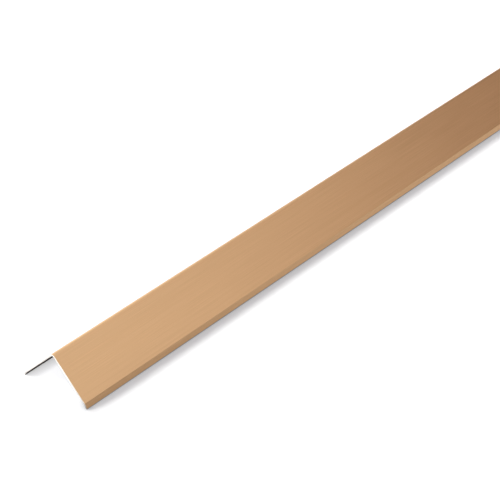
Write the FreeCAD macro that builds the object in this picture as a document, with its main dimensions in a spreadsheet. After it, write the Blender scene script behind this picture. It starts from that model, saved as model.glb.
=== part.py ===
# Corner guard moulding: one strip of sheet metal, folded along its length into a right-angled
# guard for an outside wall corner. Each leg ends in a lip kicked inwards, which presses on the wall.
# Millimetres. +X runs along the length and +Z is up. The guard lies as it does unheld on a
# floor: corner upwards, on the inside edges of its two lips, with its front leg facing -Y.
import FreeCAD, Part
import math
import os

import Sketcher
from FreeCAD import Vector

doc = FreeCAD.newDocument("corner_guard_moulding")

# Driving dimensions
SIZES = {
    "stock_length": "1200",   # sold length, cut off square at both ends
    "leg_width": "50",        # outside of a leg, from the sharp corner over face and lip
    "lip_width": "4.5",       # outside of a lip, from the kick to the free edge
    "sheet_thickness": "1.5",
    "corner_angle": "90",     # degrees between the insides of the two legs
    "kick_angle": "15",       # degrees that a lip turns inwards from its leg
    "bend_radius": "1.5",     # inside of the corner's bend
    "kick_radius": "1.5",     # inside of a kick's bend
    "edge_rounding": "0.3",   # outside of a free edge, rolled over by the shears
}
sizes = doc.addObject("Spreadsheet::Sheet", "sizes")
for row, (alias, value) in enumerate(SIZES.items(), start=1):
    sizes.set(f"A{row}", value)
    sizes.setAlias(f"A{row}", alias)
doc.recompute()

# Body of the guard, with its section across the length
guard = doc.addObject("PartDesign::Body", "corner_guard")
guard.Label = "corner_guard"
planes = {plane.Role: plane for plane in guard.Origin.OriginFeatures}
section = guard.newObject("Sketcher::SketchObject", "section")
section.AttachmentSupport = [(planes["YZ_Plane"], "")]
section.MapMode = "FlatFace"

# Corners of the section's back half, drawn with sharp bends and standing on the floor line
face_lean = math.radians(sizes.corner_angle / 2)
lip_lean = face_lean - math.radians(sizes.kick_angle)
down_face = Vector(math.sin(face_lean), -math.cos(face_lean))
down_lip = Vector(math.sin(lip_lean), -math.cos(lip_lean))
into_face = Vector(down_face.y, -down_face.x)
into_lip = Vector(down_lip.y, -down_lip.x)
kick_mitre = (into_face + into_lip) / (1 + into_face.dot(into_lip))
kick_out = down_face * (sizes.leg_width - sizes.lip_width)
kick_in = kick_out + kick_mitre * sizes.sheet_thickness
edge_out = kick_out + down_lip * sizes.lip_width
edge_in = edge_out + into_lip * sizes.sheet_thickness
corner_out = Vector(0, 0)
corner_in = Vector(0, -sizes.sheet_thickness / math.sin(face_lean))
floor = Vector(0, edge_in.y)


def front(place):
    """The place in the front half that matches one in the back half."""
    return Vector(-place.x, place.y)


# Closed outline: down the front leg outside, back up inside, and the same over the back leg
back_half = [corner_in, kick_in, edge_in, edge_out, kick_out]
front_half = [corner_out] + [front(place) for place in reversed(back_half[1:])]
outline = [place - floor for place in front_half + back_half]
(FACE_OUT, LIP_OUT, LIP_EDGE, LIP_IN, FACE_IN,
 BACK_FACE_IN, BACK_LIP_IN, BACK_LIP_EDGE, BACK_LIP_OUT, BACK_FACE_OUT) = range(len(outline))
START, END = 1, 2
FLOOR_LINE, CENTRE_LINE = -1, -2
section.addGeometry(
    [Part.LineSegment(start, end) for start, end in zip(outline, outline[1:] + outline[:1])]
)


def relate(kind, *where):
    """Add a geometric constraint to the section."""
    section.addConstraint(Sketcher.Constraint(kind, *where))


def measure(name, expression, kind, *where):
    """Add a dimension to the section and bind it to the driving dimensions."""
    section.renameConstraint(section.addConstraint(Sketcher.Constraint(kind, *where)), name)
    section.setExpression(f"Constraints.{name}", expression)


for line in range(len(outline)):
    relate("Coincident", line, END, (line + 1) % len(outline), START)

# Both legs are alike, and stand on the inside edges of their lips
relate("PointOnObject", FACE_OUT, START, CENTRE_LINE)
relate("PointOnObject", FACE_IN, END, CENTRE_LINE)
relate("Symmetric", FACE_OUT, END, BACK_FACE_OUT, START, CENTRE_LINE)
relate("Symmetric", LIP_OUT, END, BACK_LIP_OUT, START, CENTRE_LINE)
relate("Symmetric", LIP_IN, START, BACK_LIP_IN, END, CENTRE_LINE)
relate("Symmetric", LIP_IN, END, BACK_LIP_IN, START, CENTRE_LINE)
relate("PointOnObject", LIP_IN, START, FLOOR_LINE)

# The front leg is sheet of one thickness, cut square at its free edge
relate("Parallel", FACE_IN, FACE_OUT)
relate("Parallel", LIP_IN, LIP_OUT)
relate("Perpendicular", LIP_EDGE, LIP_OUT)
thickness = sizes.sheet_thickness
measure("face_sheet", "sizes.sheet_thickness", "Distance", FACE_IN, START, FACE_OUT, thickness)
measure("lip_sheet", "sizes.sheet_thickness", "Distance", LIP_IN, START, LIP_OUT, thickness)
measure("face", "sizes.leg_width - sizes.lip_width", "Distance", FACE_OUT, kick_out.Length)
measure("lip", "sizes.lip_width", "Distance", LIP_OUT, sizes.lip_width)
measure("corner", "180 - sizes.corner_angle", "Angle", BACK_FACE_OUT, FACE_OUT, math.pi - 2 * face_lean)
measure("kick", "sizes.kick_angle", "Angle", FACE_OUT, LIP_OUT, face_lean - lip_lean)

# Strip of the full stock length, half of it to each side of the section
strip = guard.newObject("PartDesign::Pad", "strip")
strip.Profile = section
strip.SideType = "Symmetric"
strip.setExpression("Length", "sizes.stock_length")
doc.recompute()

ALONG = Vector(1, 0, 0)
SAME_PLACE = 1e-4


def round_edges(name, base, corners, radius):
    """Round the long edges of the strip that run through the given corners of the section."""
    places = [section.getPoint(line, end) for line, end in corners]
    edges = []
    for number, edge in enumerate(base.Shape.Edges, start=1):
        ends = (edge.firstVertex().Point, edge.lastVertex().Point)
        for place in places:
            corner = Vector(0, place.x, place.y)
            if all(end.distanceToLine(corner, ALONG) < SAME_PLACE for end in ends):
                edges.append(f"Edge{number}")
    fillet = guard.newObject("PartDesign::Fillet", name)
    fillet.Base = (base, edges)
    fillet.setExpression("Radius", radius)
    doc.recompute()
    return fillet


# Bends of the corner and of the kicks, concentric inside and outside as a folded sheet's are
bend_outside = round_edges(
    "bend_outside", strip, [(FACE_OUT, START)], "sizes.bend_radius + sizes.sheet_thickness"
)
bend_inside = round_edges("bend_inside", bend_outside, [(FACE_IN, END)], "sizes.bend_radius")
kicks_outside = round_edges(
    "kicks_outside",
    bend_inside,
    [(FACE_OUT, END), (BACK_FACE_OUT, START)],
    "sizes.kick_radius + sizes.sheet_thickness",
)
kicks_inside = round_edges(
    "kicks_inside", kicks_outside, [(LIP_IN, END), (BACK_LIP_IN, START)], "sizes.kick_radius"
)

# Sheared free edges, rolled over on the outside
round_edges(
    "free_edges", kicks_inside, [(LIP_OUT, END), (BACK_LIP_OUT, START)], "sizes.edge_rounding"
)

for thing in doc.Objects:
    if "Invalid" in thing.State or "Error" in thing.State:
        raise RuntimeError(f"{thing.Name} is {thing.State}")
if guard.Shape.isNull() or not guard.Shape.isValid():
    raise RuntimeError("the guard has no valid shape")

os.makedirs("parts", exist_ok=True)
guard.Shape.exportStep(f"parts/{guard.Label}.step")
box = guard.Shape.BoundBox
print(f"{guard.Label}: {box.XLength:.2f} x {box.YLength:.2f} x {box.ZLength:.2f} mm")
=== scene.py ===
import math

import bpy
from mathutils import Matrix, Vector


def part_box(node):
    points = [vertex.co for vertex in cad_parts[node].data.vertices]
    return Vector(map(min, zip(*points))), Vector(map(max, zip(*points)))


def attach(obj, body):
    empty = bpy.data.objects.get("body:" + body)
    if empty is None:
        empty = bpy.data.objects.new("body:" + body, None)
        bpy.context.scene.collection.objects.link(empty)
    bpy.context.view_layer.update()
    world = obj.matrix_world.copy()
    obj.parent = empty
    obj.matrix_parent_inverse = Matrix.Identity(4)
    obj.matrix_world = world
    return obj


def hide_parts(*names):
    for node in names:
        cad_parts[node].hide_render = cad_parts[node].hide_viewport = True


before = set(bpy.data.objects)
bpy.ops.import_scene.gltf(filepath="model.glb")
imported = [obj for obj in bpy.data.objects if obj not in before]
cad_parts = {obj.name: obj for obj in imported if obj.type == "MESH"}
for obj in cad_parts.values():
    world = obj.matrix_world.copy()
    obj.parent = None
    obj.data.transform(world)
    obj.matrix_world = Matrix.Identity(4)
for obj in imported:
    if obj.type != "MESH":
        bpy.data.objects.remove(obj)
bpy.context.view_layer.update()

# Folded strip
# One strip of 1.5 mm sheet, bronze-toned and hairline brushed on its outside before folding. A press
# brake folds the corner and kicks both lips inwards, and shears cut the free edges and the ends, which
# stay bare. The strip is glued over an outside wall corner, so nothing is fixed through it.
low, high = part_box("corner_guard")
stock_length = high.x - low.x
leg_width = 0.050        # outside of a leg, from the sharp corner over face and lip
lip_width = 0.0045       # outside of a lip, from the kick to the free edge
sheet = 0.0015
half_corner = math.radians(45)
kick = math.radians(15)
bend_radius = 0.0015     # inside of the corner's bend
kick_radius = 0.0015     # inside of a kick's bend
bend_steps = 16
rolled_edge = 0.0003     # outside of a free edge, rolled over by the shears
burr_edge = 0.0001       # rims of the cut ends, with their burr taken off
edge_steps = 4


def add_node(tree, kind, settings=None, **sockets):
    """Add a node to a tree, with its settings and the values or links of its named input sockets."""
    node = tree.nodes.new(kind)
    for name, value in (settings or {}).items():
        setattr(node, name, value)
    for name, value in sockets.items():
        plug(tree, node.inputs[name.replace("_", " ")], value)
    return node


def plug(tree, socket, value):
    """Give an input socket a value, or link it to another node's output."""
    if isinstance(value, bpy.types.NodeSocket):
        tree.links.new(value, socket)
    else:
        socket.default_value = value


def maths(tree, operation, first, second=0.0):
    """Result of a sum on two values or links."""
    node = tree.nodes.new("ShaderNodeMath")
    node.operation = operation
    plug(tree, node.inputs[0], first)
    plug(tree, node.inputs[1], second)
    return node.outputs[0]


def ranged(tree, value, low_value, high_value, from_low=0.0, from_high=1.0):
    """A value mapped onto another range."""
    node = add_node(tree, "ShaderNodeMapRange", Value=value)
    for name, number in (
        ("From Min", from_low), ("From Max", from_high), ("To Min", low_value), ("To Max", high_value)
    ):
        node.inputs[name].default_value = number
    return node.outputs["Result"]


def mixed(tree, share, first, second):
    """Colour between two colours or links."""
    node = add_node(tree, "ShaderNodeMix", {"data_type": "RGBA"})
    plug(tree, node.inputs["Factor"], share)
    for socket, colour in ((node.inputs[6], first), (node.inputs[7], second)):
        plug(tree, socket, colour if isinstance(colour, bpy.types.NodeSocket) else (*colour, 1.0))
    return node.outputs[2]


def hairline_group():
    """Brushing of a sheet along its length: fine hairlines, broad streaks and slow clouds, each 0 to 1."""
    group = bpy.data.node_groups.new("hairline_brushing", "ShaderNodeTree")
    for name, value in (("Line Width", 0.0002), ("Line Length", 0.06)):
        socket = group.interface.new_socket(name, in_out="INPUT", socket_type="NodeSocketFloat")
        socket.default_value = value
    for name in ("Lines", "Streaks", "Clouds"):
        group.interface.new_socket(name, in_out="OUTPUT", socket_type="NodeSocketFloat")
    given = group.nodes.new("NodeGroupInput").outputs
    made = group.nodes.new("NodeGroupOutput").inputs
    place = group.nodes.new("ShaderNodeUVMap")
    place.uv_map = "sheet"
    split = add_node(group, "ShaderNodeSeparateXYZ", Vector=place.outputs["UV"])
    grains = {"Lines": (1.0, 1.0, 2.0), "Streaks": (12.0, 6.0, 3.0), "Clouds": (150.0, 2.5, 2.0)}
    for name, (wider, longer, detail) in grains.items():
        length = maths(group, "MULTIPLY", given["Line Length"], longer)
        width = maths(group, "MULTIPLY", given["Line Width"], wider)
        along = maths(group, "DIVIDE", split.outputs["X"], length)
        across = maths(group, "DIVIDE", split.outputs["Y"], width)
        spot = add_node(group, "ShaderNodeCombineXYZ", X=along, Y=across)
        grain = add_node(
            group, "ShaderNodeTexNoise", {"noise_dimensions": "2D"},
            Vector=spot.outputs["Vector"], Scale=1.0, Detail=detail,
        )
        group.links.new(grain.outputs["Fac"], made[name])
    return group


hairline = hairline_group()


def new_material(name, colour, roughness):
    """A metal material, with its tree and its Principled shader."""
    material = bpy.data.materials.new(name)
    material.use_nodes = True
    tree = material.node_tree
    shader = tree.nodes["Principled BSDF"]
    shader.inputs["Base Color"].default_value = (*colour, 1.0)
    shader.inputs["Metallic"].default_value = 1.0
    shader.inputs["Roughness"].default_value = roughness
    return material, tree, shader


def brushed_bronze():
    """The coloured and hairline-brushed outside of the sheet."""
    dull_cloud = (0.660, 0.415, 0.227)
    bright_cloud = (0.700, 0.440, 0.238)
    streak = (0.714, 0.459, 0.255)
    scratch = (0.600, 0.375, 0.200)
    material, tree, shader = new_material("brushed_bronze", (0.656, 0.413, 0.225), 0.31)
    brushing = add_node(tree, "ShaderNodeGroup", {"node_tree": hairline}, Line_Width=0.0002, Line_Length=0.06)
    lines, streaks, clouds = (brushing.outputs[name] for name in ("Lines", "Streaks", "Clouds"))
    tone = mixed(tree, ranged(tree, clouds, 0.0, 1.0, from_low=0.3, from_high=0.7), dull_cloud, bright_cloud)
    tone = mixed(tree, ranged(tree, streaks, 0.0, 1.0, from_low=0.25, from_high=0.75), tone, streak)
    tone = mixed(tree, ranged(tree, lines, 0.75, 0.0, from_low=0.32, from_high=0.68), tone, scratch)
    tree.links.new(tone, shader.inputs["Base Color"])
    tree.links.new(ranged(tree, lines, 0.26, 0.36), shader.inputs["Roughness"])
    shader.inputs["Anisotropic"].default_value = 0.5
    shader.inputs["Anisotropic Rotation"].default_value = 0.25
    tangent = add_node(tree, "ShaderNodeTangent", {"direction_type": "UV_MAP", "uv_map": "sheet"})
    tree.links.new(tangent.outputs["Tangent"], shader.inputs["Tangent"])
    bump = add_node(tree, "ShaderNodeBump", Strength=0.5, Distance=0.00001, Height=lines)
    tree.links.new(bump.outputs["Normal"], shader.inputs["Normal"])
    return material


def painted_dark_inside():
    """The inside of the sheet: dull and brushed, and painted dark with dimmed grazing reflections as shade
    for the inside of the guard.
    """
    # painted shade: both streak tones and the grazing tint are kept near-black so the inside reads as shaded
    dark_streak = (0.037, 0.030, 0.029)
    pale_streak = (0.057, 0.047, 0.045)
    grazing_shade_tint = (0.4, 0.36, 0.37)
    material, tree, shader = new_material("painted_dark_inside", (0.046, 0.038, 0.036), 0.5)
    brushing = add_node(tree, "ShaderNodeGroup", {"node_tree": hairline}, Line_Width=0.0006, Line_Length=0.15)
    shader.inputs["Specular Tint"].default_value = (*grazing_shade_tint, 1.0)
    streaks = ranged(tree, brushing.outputs["Streaks"], 0.0, 1.0, from_low=0.25, from_high=0.75)
    tree.links.new(mixed(tree, streaks, dark_streak, pale_streak), shader.inputs["Base Color"])
    tree.links.new(ranged(tree, brushing.outputs["Clouds"], 0.42, 0.58), shader.inputs["Roughness"])
    return material


def bare_edge():
    """Cut edges: bright metal, burnished on the outside and torn on the inside, with painted shade darkening
    them near the floor, on the lips.
    """
    burnished_tone = (0.80, 0.77, 0.72)
    torn_tone = (0.62, 0.59, 0.55)
    floor_shade_tone = (0.42, 0.40, 0.38)
    material, tree, shader = new_material("bare_edge", (0.72, 0.69, 0.64), 0.3)
    depth = add_node(tree, "ShaderNodeAttribute", {"attribute_name": "outside"})
    torn = ranged(tree, depth.outputs["Fac"], 1.0, 0.0, from_low=0.35, from_high=0.65)
    place = add_node(tree, "ShaderNodeTexCoord").outputs["Object"]
    height = add_node(tree, "ShaderNodeSeparateXYZ", Vector=place).outputs["Z"]
    # painted shade: the cut edges turn grey within a few millimetres of the floor, where contact shade falls
    near_floor_shade = ranged(tree, height, 1.0, 0.0, from_low=0.001, from_high=0.006)
    tone = mixed(tree, torn, burnished_tone, torn_tone)
    tree.links.new(mixed(tree, near_floor_shade, tone, floor_shade_tone), shader.inputs["Base Color"])
    tree.links.new(ranged(tree, torn, 0.25, 0.5), shader.inputs["Roughness"])
    return material


def strip_tree(outside, inside, edge):
    """Node tree that folds the middle line of the sheet, gives it the sheet's thickness and draws it out."""
    tree = bpy.data.node_groups.new("folded_strip", "GeometryNodeTree")
    for name in ("Length", "Face", "Lip", "Sheet", "Half Corner", "Kick", "Bend Radius", "Kick Radius",
                 "Burr Share"):
        tree.interface.new_socket(name, in_out="INPUT", socket_type="NodeSocketFloat")
    tree.interface.new_socket("Strip", in_out="OUTPUT", socket_type="NodeSocketGeometry")
    given = tree.nodes.new("NodeGroupInput").outputs

    # Middle line of the sheet: free edge, kick, corner, kick and free edge
    places = 5
    line = add_node(tree, "GeometryNodeMeshLine", Count=places)
    number = tree.nodes.new("GeometryNodeInputIndex").outputs[0]
    from_corner = maths(tree, "SUBTRACT", number, (places - 1) / 2)
    side = maths(tree, "SIGN", from_corner)
    step = maths(tree, "ABSOLUTE", from_corner)
    lean = maths(tree, "SUBTRACT", given["Half Corner"], given["Kick"])

    def down(angle, length):
        """Vector of a length down the back leg, at an angle from upright."""
        away = maths(tree, "MULTIPLY", maths(tree, "SINE", angle), length)
        drop = maths(tree, "MULTIPLY", maths(tree, "COSINE", angle), maths(tree, "MULTIPLY", length, -1.0))
        return add_node(tree, "ShaderNodeCombineXYZ", Y=away, Z=drop).outputs["Vector"]

    at_kick = down(given["Half Corner"], given["Face"])
    at_edge = add_node(tree, "ShaderNodeVectorMath", {"operation": "ADD"})
    plug(tree, at_edge.inputs[0], at_kick)
    plug(tree, at_edge.inputs[1], down(lean, given["Lip"]))
    choice = add_node(tree, "GeometryNodeIndexSwitch", {"data_type": "VECTOR"}, Index=step)
    choice.index_switch_items.new()
    plug(tree, choice.inputs["1"], at_kick)
    plug(tree, choice.inputs["2"], at_edge.outputs["Vector"])
    mirror = add_node(tree, "ShaderNodeCombineXYZ", X=1.0, Y=side, Z=1.0)
    corner = add_node(tree, "ShaderNodeVectorMath", {"operation": "MULTIPLY"})
    plug(tree, corner.inputs[0], choice.outputs["Output"])
    plug(tree, corner.inputs[1], mirror.outputs["Vector"])
    line = add_node(
        tree, "GeometryNodeSetPosition", Geometry=line.outputs["Mesh"], Position=corner.outputs["Vector"]
    )
    line = add_node(tree, "GeometryNodeMeshToCurve", Mesh=line.outputs["Geometry"])

    # Bends at the middle of the sheet
    radius = add_node(tree, "GeometryNodeIndexSwitch", {"data_type": "FLOAT"}, Index=step)
    plug(tree, radius.inputs["0"], given["Bend Radius"])
    plug(tree, radius.inputs["1"], given["Kick Radius"])
    half_sheet = maths(tree, "MULTIPLY", given["Sheet"], 0.5)
    middle = maths(tree, "ADD", radius.outputs["Output"], half_sheet)
    folded = add_node(
        tree, "GeometryNodeFilletCurve", {"mode": "POLY"},
        Curve=line.outputs["Curve"], Count=bend_steps, Radius=middle,
    )
    arc = tree.nodes.new("GeometryNodeSplineParameter")
    folded = add_node(
        tree, "GeometryNodeStoreNamedAttribute", {"data_type": "FLOAT", "domain": "POINT"},
        Geometry=folded.outputs["Curve"], Name="across", Value=arc.outputs["Length"],
    )
    folded = add_node(
        tree, "GeometryNodeSetCurveNormal", {"mode": "FREE"},
        Curve=folded.outputs["Geometry"], Normal=(1.0, 0.0, 0.0),
    )

    # Thickness of the sheet, marked 0 inside and 1 outside
    start = add_node(tree, "ShaderNodeCombineXYZ", Y=half_sheet)
    end = add_node(tree, "ShaderNodeCombineXYZ", Y=maths(tree, "MULTIPLY", half_sheet, -1.0))
    wall = add_node(tree, "GeometryNodeCurvePrimitiveLine", Start=start.outputs[0], End=end.outputs[0])
    mark = tree.nodes.new("GeometryNodeInputIndex")
    wall = add_node(
        tree, "GeometryNodeStoreNamedAttribute", {"data_type": "FLOAT", "domain": "POINT"},
        Geometry=wall.outputs["Curve"], Name="outside", Value=mark.outputs[0],
    )
    section = add_node(
        tree, "GeometryNodeCurveToMesh", Curve=folded.outputs["Curve"], Profile_Curve=wall.outputs["Geometry"]
    )

    # Section drawn out to the stock length, with both ends closed
    weld_gap = 1e-6
    back = add_node(tree, "ShaderNodeCombineXYZ", X=maths(tree, "MULTIPLY", given["Length"], -0.5))
    first_end = add_node(
        tree, "GeometryNodeTransform", Geometry=section.outputs["Mesh"], Translation=back.outputs["Vector"]
    )
    draw = add_node(tree, "ShaderNodeCombineXYZ", X=given["Length"])
    drawn = add_node(
        tree, "GeometryNodeExtrudeMesh", {"mode": "FACES"}, Mesh=first_end.outputs["Geometry"],
        Offset=draw.outputs["Vector"], Offset_Scale=1.0, Individual=False,
    )
    closing = add_node(tree, "GeometryNodeFlipFaces", Mesh=first_end.outputs["Geometry"])
    joined = add_node(tree, "GeometryNodeJoinGeometry")
    tree.links.new(drawn.outputs["Mesh"], joined.inputs["Geometry"])
    tree.links.new(closing.outputs["Mesh"], joined.inputs["Geometry"])
    strip = add_node(
        tree, "GeometryNodeMergeByDistance", Geometry=joined.outputs["Geometry"], Distance=weld_gap
    )

    # Stood on the floor
    extent = add_node(tree, "GeometryNodeBoundBox", Geometry=strip.outputs["Geometry"])
    lowest = add_node(tree, "ShaderNodeSeparateXYZ", Vector=extent.outputs["Min"])
    lift = add_node(tree, "ShaderNodeCombineXYZ", Z=maths(tree, "MULTIPLY", lowest.outputs["Z"], -1.0))
    strip = add_node(
        tree, "GeometryNodeTransform", Geometry=strip.outputs["Geometry"], Translation=lift.outputs["Vector"]
    )

    # Flat pattern of the sheet before folding, in metres, for the brushing to follow
    position = tree.nodes.new("GeometryNodeInputPosition").outputs["Position"]
    place = add_node(tree, "ShaderNodeSeparateXYZ", Vector=position)
    across = add_node(tree, "GeometryNodeInputNamedAttribute", {"data_type": "FLOAT"}, Name="across")
    flat = add_node(tree, "ShaderNodeCombineXYZ", X=place.outputs["X"], Y=across.outputs["Attribute"])
    strip = add_node(
        tree, "GeometryNodeStoreNamedAttribute", {"data_type": "FLOAT2", "domain": "CORNER"},
        Geometry=strip.outputs["Geometry"], Name="sheet", Value=flat.outputs["Vector"],
    )

    # Edges that the shears left: rolled over along the outside of the lips, deburred round the ends
    sharp_turn = math.radians(60)
    marked = add_node(tree, "GeometryNodeInputNamedAttribute", {"data_type": "FLOAT"}, Name="outside")
    on_outside = maths(tree, "GREATER_THAN", marked.outputs["Attribute"], 0.9)
    on_inside = maths(tree, "LESS_THAN", marked.outputs["Attribute"], 0.1)
    turn = tree.nodes.new("GeometryNodeInputMeshEdgeAngle").outputs["Unsigned Angle"]
    sharp = maths(tree, "GREATER_THAN", turn, sharp_turn)
    ends = tree.nodes.new("GeometryNodeInputMeshEdgeVertices")
    reach = add_node(tree, "ShaderNodeVectorMath", {"operation": "DISTANCE"})
    plug(tree, reach.inputs[0], ends.outputs["Position 1"])
    plug(tree, reach.inputs[1], ends.outputs["Position 2"])
    half_length = maths(tree, "MULTIPLY", given["Length"], 0.5)
    long_edge = maths(tree, "GREATER_THAN", reach.outputs["Value"], half_length)
    rolled = maths(tree, "MULTIPLY", long_edge, on_outside)
    deburred = maths(tree, "MULTIPLY", maths(tree, "SUBTRACT", 1.0, long_edge), given["Burr Share"])
    weight = maths(tree, "MULTIPLY", sharp, maths(tree, "ADD", rolled, deburred))
    strip = add_node(
        tree, "GeometryNodeStoreNamedAttribute", {"data_type": "FLOAT", "domain": "EDGE"},
        Geometry=strip.outputs["Geometry"], Name="bevel_weight_edge", Value=weight,
    )
    strip = add_node(tree, "GeometryNodeSetShadeSmooth", Geometry=strip.outputs["Geometry"])
    strip = add_node(tree, "GeometryNodeRealizeInstances", Geometry=strip.outputs["Geometry"])
    for material, where in ((edge, True), (outside, on_outside), (inside, on_inside)):
        strip = add_node(
            tree, "GeometryNodeSetMaterial",
            Geometry=strip.outputs["Geometry"], Selection=where, Material=material,
        )
    tree.links.new(strip.outputs["Geometry"], tree.nodes.new("NodeGroupOutput").inputs["Strip"])
    return tree


folding = strip_tree(brushed_bronze(), painted_dark_inside(), bare_edge())
strip = bpy.data.objects.new("corner_guard_strip", bpy.data.meshes.new("corner_guard_strip"))
bpy.context.scene.collection.objects.link(strip)
fold = strip.modifiers.new("fold", "NODES")
fold.node_group = folding
mitre_corner = sheet / 2 / math.tan(half_corner)
mitre_kick = sheet / 2 * math.tan(kick / 2)
strip_sizes = {
    "Length": stock_length, "Face": leg_width - lip_width - mitre_corner - mitre_kick,
    "Lip": lip_width - mitre_kick, "Sheet": sheet, "Half Corner": half_corner, "Kick": kick,
    "Bend Radius": bend_radius, "Kick Radius": kick_radius, "Burr Share": burr_edge / rolled_edge,
}
for socket in folding.interface.items_tree:
    if socket.in_out == "INPUT":
        fold[socket.identifier] = strip_sizes[socket.name]
shears = strip.modifiers.new("shears", "BEVEL")
shears.limit_method = "WEIGHT"
shears.width = rolled_edge
shears.segments = edge_steps
flats = strip.modifiers.new("flats", "WEIGHTED_NORMAL")
flats.keep_sharp = False
strip.update_tag()
bpy.context.view_layer.update()
folded = bpy.data.meshes.new_from_object(strip.evaluated_get(bpy.context.evaluated_depsgraph_get()))
strip.modifiers.clear()
strip.data = folded
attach(strip, "root")
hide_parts("corner_guard")

# Studio floor
# A smooth white table that the guard lies on. It takes the soft shadow, and its glow, which makes it look
# white to the eye
# and in the metal, carries painted shade: darkest in the narrow gaps at the guard's edges, dim along the foot
# of its legs inside.
floor_size = 30.0
floor_grey = (0.6, 0.6, 0.6)
floor_glow = 0.51
glow_tint = (0.97, 0.97, 1.0)
gap_reach = 0.001        # how far the dark of a narrow gap reaches out beside the guard
under_reach = 0.009      # and how far inside it
half_floor = floor_size / 2
floor_corners = [
    (-half_floor, -half_floor, 0), (half_floor, -half_floor, 0),
    (half_floor, half_floor, 0), (-half_floor, half_floor, 0),
]
floor_mesh = bpy.data.meshes.new("floor")
floor_mesh.from_pydata(floor_corners, [], [(0, 1, 2, 3)])
floor = bpy.data.objects.new("floor", floor_mesh)
bpy.context.scene.collection.objects.link(floor)
table = bpy.data.materials.new("white_table")
table.use_nodes = True
table_tree = table.node_tree
table_tree.nodes.clear()
ray = add_node(table_tree, "ShaderNodeLightPath")
eye = maths(table_tree, "MAXIMUM", ray.outputs["Is Camera Ray"], ray.outputs["Is Glossy Ray"])
eye = maths(table_tree, "MAXIMUM", eye, ray.outputs["Is Transmission Ray"])
floor_place = add_node(table_tree, "ShaderNodeNewGeometry").outputs["Position"]
floor_across = add_node(table_tree, "ShaderNodeSeparateXYZ", Vector=floor_place).outputs["Y"]
off_middle = maths(table_tree, "ABSOLUTE", floor_across)
reach = ranged(table_tree, off_middle, under_reach, gap_reach, from_low=high.y - sheet, from_high=high.y)
# painted shade: ambient occlusion darkens the floor's glow in narrow gaps and along the feet inside the guard
gap_shade = add_node(table_tree, "ShaderNodeAmbientOcclusion", Distance=reach)
glow_level = maths(table_tree, "MULTIPLY", maths(table_tree, "MULTIPLY", eye, floor_glow), gap_shade.outputs["AO"])
matt = add_node(table_tree, "ShaderNodeBsdfDiffuse", Color=(*floor_grey, 1.0))
glow = add_node(table_tree, "ShaderNodeEmission", Color=(*glow_tint, 1.0), Strength=glow_level)
table_look = add_node(table_tree, "ShaderNodeAddShader")
table_tree.links.new(matt.outputs["BSDF"], table_look.inputs[0])
table_tree.links.new(glow.outputs["Emission"], table_look.inputs[1])
table_end = table_tree.nodes.new("ShaderNodeOutputMaterial")
table_tree.links.new(table_look.outputs["Shader"], table_end.inputs["Surface"])
floor_mesh.materials.append(table)

# Studio light
# A row of soft lamps behind the guard shades the floor along its front edge, and a low spot lamp lights the
# floor inside its left end. Neither shows in the metal, which mirrors a white tent instead: dim low in
# front, and cream towards the right, with a narrow warm dark panel there that is pale at its foot.
lamp_count = 7
lamp_strength = 0.80
lamp_angle = math.radians(8)
row_height = math.radians(40.2)
row_start = math.radians(-14)
row_end = math.radians(38)
for number in range(lamp_count):
    name = f"row_lamp_{number + 1}"
    lamp = bpy.data.objects.new(name, bpy.data.lights.new(name, "SUN"))
    lamp.data.energy = lamp_strength
    lamp.data.angle = lamp_angle
    lamp.visible_glossy = False
    aside = row_start + (row_end - row_start) * number / (lamp_count - 1)
    towards_lamp = Vector((
        -math.sin(aside),
        math.cos(aside) * math.cos(row_height),
        math.cos(aside) * math.sin(row_height),
    ))
    lamp.rotation_mode = "QUATERNION"
    lamp.rotation_quaternion = towards_lamp.to_track_quat("Z", "Y")
    bpy.context.scene.collection.objects.link(lamp)

end_lamp_power = 24.0
end_lamp_radius = 0.03
end_lamp_cone = math.radians(14)
end_lamp_blend = 0.3
end_lamp_place = Vector((low.x - 0.31, -0.03, 0.05))
end_lamp_aim = Vector((low.x + 0.012, 0.022, 0.0))
end_lamp = bpy.data.objects.new("end_lamp", bpy.data.lights.new("end_lamp", "SPOT"))
end_lamp.data.energy = end_lamp_power
end_lamp.data.shadow_soft_size = end_lamp_radius
end_lamp.data.spot_size = end_lamp_cone
end_lamp.data.spot_blend = end_lamp_blend
end_lamp.visible_camera = False
end_lamp.visible_glossy = False
end_lamp.location = end_lamp_place
end_lamp.rotation_mode = "QUATERNION"
end_lamp.rotation_quaternion = (end_lamp_place - end_lamp_aim).to_track_quat("Z", "Y")
bpy.context.scene.collection.objects.link(end_lamp)

tent_peak = 1.8
white_cloth = (1.0, 1.0, 1.0)
cream_cloth = (1.0, 0.93, 0.885)
warm_cloth = (1.0, 0.84, 0.72)
warm_panel = (1.0, 0.44, 0.26)
tent = bpy.data.worlds.new("light_tent")
tent.use_nodes = True
bpy.context.scene.world = tent
tent.cycles_visibility.diffuse = False
tent_tree = tent.node_tree
tent_tree.nodes.clear()
direction = add_node(
    tent_tree, "ShaderNodeSeparateXYZ",
    Vector=add_node(tent_tree, "ShaderNodeTexCoord").outputs["Generated"],
)
to_right = direction.outputs["X"]
to_front = maths(tent_tree, "MULTIPLY", direction.outputs["Y"], -1.0)
over_top = maths(tent_tree, "DIVIDE", maths(tent_tree, "ARCTAN2", direction.outputs["Z"], to_front), math.pi)


def tent_side(tones):
    """Colour of the tent by the share of a half turn from the front horizon over the top to the back."""
    side = add_node(tent_tree, "ShaderNodeValToRGB", Fac=over_top)
    side.color_ramp.interpolation = "EASE"
    stops = side.color_ramp.elements
    stops.remove(stops[1])
    for number, (share, level, tint) in enumerate(tones):
        stop = stops.new(share) if number else stops[0]
        stop.color = (*[level / tent_peak * part for part in tint], 1.0)
    return side.outputs["Color"]


def soft_step(low_value, high_value, start, end):
    """A value that changes softly from one direction to another, by how far they point to the right."""
    step = ranged(tent_tree, to_right, low_value, high_value, from_low=start, from_high=end)
    step.node.interpolation_type = "SMOOTHSTEP"
    return step


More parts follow.
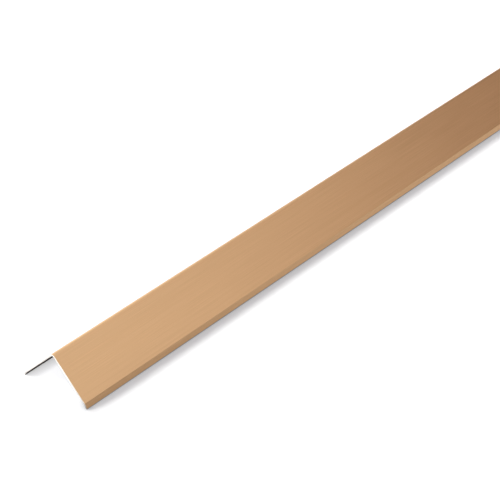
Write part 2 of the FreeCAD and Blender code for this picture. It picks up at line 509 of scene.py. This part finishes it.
left_cloth = tent_side((
    (0.0, 0.28, warm_cloth), (0.09, 0.30, warm_cloth),
    (0.22, 1.12, white_cloth), (0.5, 1.07, white_cloth), (0.68, 1.06, white_cloth),
    (0.80, 1.8, white_cloth), (0.90, 1.8, white_cloth), (1.0, 0.57, white_cloth),
))
right_cloth = tent_side((
    (0.0, 0.75, white_cloth), (0.07, 0.70, white_cloth),
    (0.22, 1.12, cream_cloth), (0.5, 1.07, cream_cloth), (0.68, 1.06, cream_cloth),
    (0.83, 1.6, cream_cloth), (1.0, 0.57, cream_cloth),
))
panel = tent_side((
    (0.0, 1.0, white_cloth), (0.06, 0.95, white_cloth), (0.16, 0.18, warm_panel),
    (0.5, 0.15, warm_panel), (0.75, 0.15, warm_panel), (1.0, 0.3, warm_panel),
))
cloth = mixed(tent_tree, soft_step(0.0, 1.0, start=0.54, end=0.68), left_cloth, right_cloth)
panel_start = soft_step(0.0, 1.0, start=0.60, end=0.80)
panel_end = soft_step(1.0, 0.3, start=0.80, end=0.93)
walls = mixed(tent_tree, maths(tent_tree, "MULTIPLY", panel_start, panel_end), cloth, panel)
tent_level = maths(tent_tree, "MULTIPLY", soft_step(0.84, 1.045, start=-0.5, end=0.45), tent_peak)
tent_light = add_node(tent_tree, "ShaderNodeBackground", Color=walls, Strength=tent_level)
backdrop = add_node(tent_tree, "ShaderNodeBackground", Color=(*white_cloth, 1.0), Strength=1.0)
seen = add_node(tent_tree, "ShaderNodeLightPath").outputs["Is Camera Ray"]
surroundings = add_node(tent_tree, "ShaderNodeMixShader", Fac=seen)
tent_tree.links.new(tent_light.outputs["Background"], surroundings.inputs[1])
tent_tree.links.new(backdrop.outputs["Background"], surroundings.inputs[2])
tent_end = tent_tree.nodes.new("ShaderNodeOutputWorld")
tent_tree.links.new(surroundings.outputs["Shader"], tent_end.inputs["Surface"])

# Camera
# The photograph's view: from the left, 33 degrees above the floor, with a long lens that takes in the left
# part of the guard and lets its right end run out of the picture.
view_azimuth = math.radians(-49.92)
view_elevation = math.radians(33.17)
view_distance = 1.4992
view_aim = Vector((-0.3808, -0.0113, 0.0255))
camera = bpy.data.objects.new("camera", bpy.data.cameras.new("camera"))
camera.data.sensor_width = 36.0
camera.data.lens = 129.2
towards_camera = Vector((
    math.sin(view_azimuth) * math.cos(view_elevation),
    -math.cos(view_azimuth) * math.cos(view_elevation),
    math.sin(view_elevation),
))
camera.location = view_aim + towards_camera * view_distance
camera.rotation_mode = "QUATERNION"
camera.rotation_quaternion = (-towards_camera).to_track_quat("-Z", "Y")
bpy.context.scene.collection.objects.link(camera)
bpy.context.scene.camera = camera
bpy.context.scene.view_settings.view_transform = "Standard"
